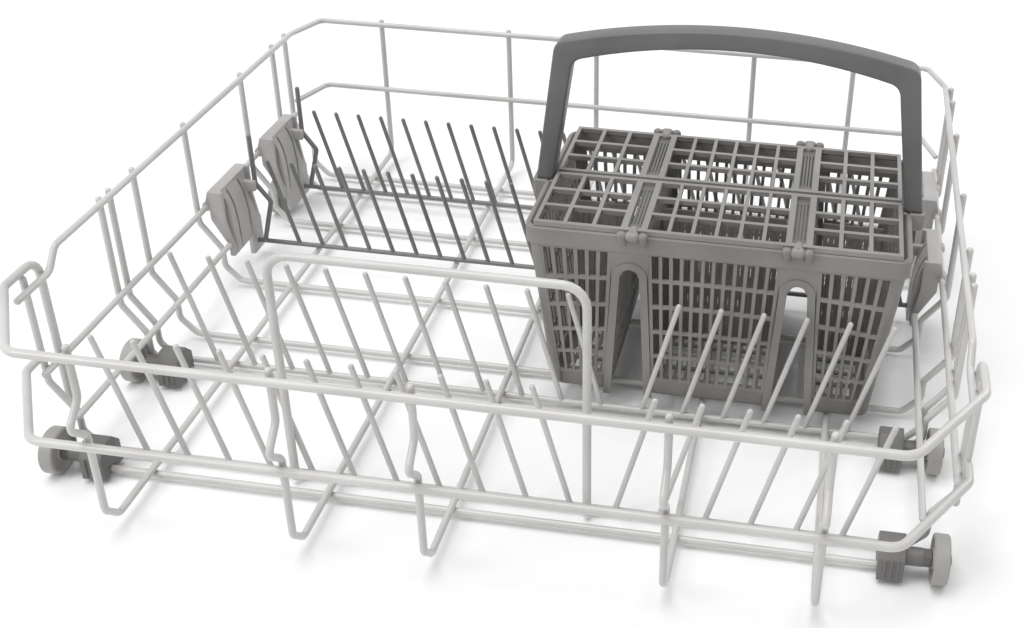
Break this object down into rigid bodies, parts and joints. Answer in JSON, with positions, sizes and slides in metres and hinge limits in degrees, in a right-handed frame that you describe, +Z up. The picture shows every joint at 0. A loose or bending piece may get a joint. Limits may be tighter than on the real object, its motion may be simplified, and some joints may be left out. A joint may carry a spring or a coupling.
{
  "type": "dishwasher basket",
  "caption": "Wire dishwasher lower basket on rollers, with fixed and fold-down plate tines and a lidded cutlery basket with a carrying handle.",
  "frame": {"origin": "middle of the basket's outline on the floor under its rollers", "axes": "+X to the right seen from the front rail, +Y to the back, +Z up"},
  "size_m": [0.5308, 0.5, 0.2344],
  "materials": {
    "coated_wire": "satin nylon coating",
    "dark_wire": "satin nylon coating",
    "bracket_plastic": "matte",
    "carrier_plastic": "matte",
    "roller_plastic": "matte",
    "hinge_plastic": "matte",
    "lid_plastic": "satin",
    "basket_plastic": "matte",
    "handle_plastic": "satin"
  },
  "bodies": {
    "rack": {"back_mid_wire": "coated_wire", "basket_handle": "handle_plastic", "bracket_front_left": "bracket_plastic", "bracket_front_right": "bracket_plastic", "bracket_rear_left": "bracket_plastic", "bracket_rear_right": "bracket_plastic", "carrier_front_left": "carrier_plastic", "carrier_front_right": "carrier_plastic", "carrier_middle_left": "carrier_plastic", "carrier_middle_right": "carrier_plastic", "cross_wire_back": "coated_wire", "cross_wire_bracket": "coated_wire", "cross_wire_bracket_rear": "coated_wire", "cross_wire_front": "coated_wire", "cross_wire_middle": "coated_wire", "cross_wire_rear": "coated_wire", "cross_wire_roller": "coated_wire", "cross_wire_tine": "coated_wire", "cutlery_basket": "basket_plastic", "front_axle_bar": "coated_wire", "front_hoop": "coated_wire", "front_lower_rail": "coated_wire", "front_tines": "coated_wire", "front_upper_rail": "coated_wire", "lid_hinge_pins_front": "hinge_plastic", "lid_hinge_pins_rear": "hinge_plastic", "long_wire_1": "coated_wire", "long_wire_2": "coated_wire", "long_wire_3": "coated_wire", "long_wire_4": "coated_wire", "long_wire_5": "coated_wire", "middle_tines": "coated_wire", "side_low_wire_left": "coated_wire", "side_low_wire_right": "coated_wire", "side_mid_wire_left": "coated_wire", "side_mid_wire_right": "coated_wire", "top_rim": "coated_wire"},
    "front_fold_row": {"fold_axle_front": "dark_wire", "fold_tines_front": "dark_wire"},
    "rear_fold_row": {"fold_axle_rear": "dark_wire", "fold_tines_rear": "dark_wire"},
    "front_lid": {"lid_front": "lid_plastic"},
    "rear_lid": {"lid_rear": "lid_plastic"},
    "front_left_roller": {"roller_front_left": "roller_plastic"},
    "front_right_roller": {"roller_front_right": "roller_plastic"},
    "middle_left_roller": {"roller_middle_left": "roller_plastic"},
    "middle_right_roller": {"roller_middle_right": "roller_plastic"},
    "rear_left_roller": {"roller_rear_left": "roller_plastic"},
    "rear_right_roller": {"roller_rear_right": "roller_plastic"}
  },
  "joints": [
    {"name": "front_row_fold", "type": "hinge", "parent": "rack", "child": "front_fold_row", "pos_m": [0, 0.07368, 0.014], "axis": [-1, 0, 0], "range_deg": [0, 88]},
    {"name": "rear_row_fold", "type": "hinge", "parent": "rack", "child": "rear_fold_row", "pos_m": [0, 0.16468, 0.014], "axis": [-1, 0, 0], "range_deg": [0, 88]},
    {"name": "front_lid_hinge", "type": "hinge", "parent": "rack", "child": "front_lid", "pos_m": [0.114, -0.07182, 0.13035], "axis": [1, 0, 0], "range_deg": [0, 105]},
    {"name": "rear_lid_hinge", "type": "hinge", "parent": "rack", "child": "rear_lid", "pos_m": [0.114, 0.07618, 0.13035], "axis": [-1, 0, 0], "range_deg": [0, 105]},
    {"name": "front_left_roller_spin", "type": "hinge", "parent": "rack", "child": "front_left_roller", "pos_m": [-0.25505, -0.18532, 0.014], "axis": [1, 0, 0], "continuous": true},
    {"name": "front_right_roller_spin", "type": "hinge", "parent": "rack", "child": "front_right_roller", "pos_m": [0.25505, -0.18532, 0.014], "axis": [1, 0, 0], "continuous": true},
    {"name": "middle_left_roller_spin", "type": "hinge", "parent": "rack", "child": "middle_left_roller", "pos_m": [-0.25505, -0.09132, 0.014], "axis": [1, 0, 0], "continuous": true},
    {"name": "middle_right_roller_spin", "type": "hinge", "parent": "rack", "child": "middle_right_roller", "pos_m": [0.25505, -0.09132, 0.014], "axis": [1, 0, 0], "continuous": true},
    {"name": "rear_left_roller_spin", "type": "hinge", "parent": "rack", "child": "rear_left_roller", "pos_m": [-0.25505, 0.14467, 0.014], "axis": [1, 0, 0], "continuous": true},
    {"name": "rear_right_roller_spin", "type": "hinge", "parent": "rack", "child": "rear_right_roller", "pos_m": [0.25505, 0.14467, 0.014], "axis": [1, 0, 0], "continuous": true}
  ]
}
